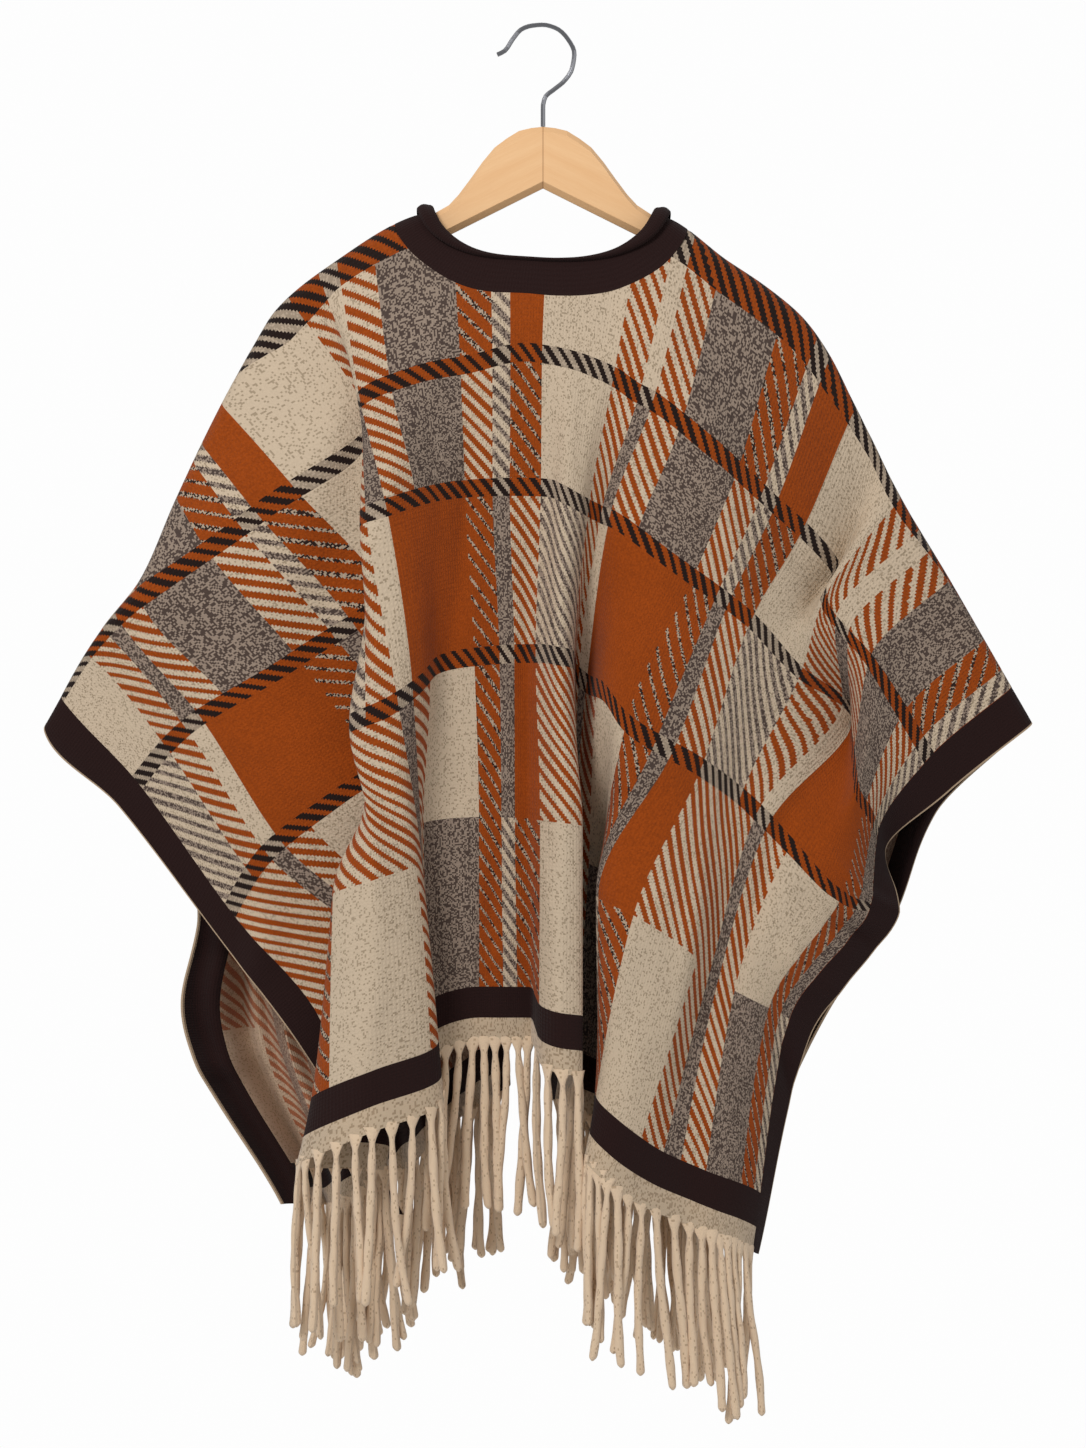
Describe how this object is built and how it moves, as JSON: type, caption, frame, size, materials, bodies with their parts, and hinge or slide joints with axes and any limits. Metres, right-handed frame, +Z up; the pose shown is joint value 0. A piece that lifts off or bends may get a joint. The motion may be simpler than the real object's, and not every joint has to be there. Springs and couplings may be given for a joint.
{
  "type": "poncho on a clothes hanger",
  "caption": "Open-front fringed poncho in a wool plaid, hanging from a flat wooden clothes hanger by its wire hook.",
  "frame": {"origin": "the inside of the top of the hanger's hook, where it hangs on a rail", "axes": "+Z up, +X along the hanger to the right of someone looking at the poncho's back, who stands at -Y"},
  "size_m": [0.8189, 0.2218, 1.1689],
  "materials": {
    "plaid": "rust, cream and grey wool plaid, jacquard knit",
    "trim": "dark brown wool border",
    "yarn": "tan brushed wool yarn",
    "wood": "varnished beech",
    "chrome": "polished wire"
  },
  "bodies": {
    "root": {"back_panel": "plaid", "front_panel_left": "plaid", "front_panel_right": "plaid", "side_band_left": "trim", "side_band_right": "trim", "hem_band_back": "trim", "hem_band_front_left": "trim", "hem_band_front_right": "trim", "neck_band": "trim", "front_band_left": "trim", "front_band_right": "trim", "fringe_back": "yarn", "fringe_front_left": "yarn", "fringe_front_right": "yarn", "hanger_wood": "wood", "hook": "chrome"}
  },
  "joints": []
}
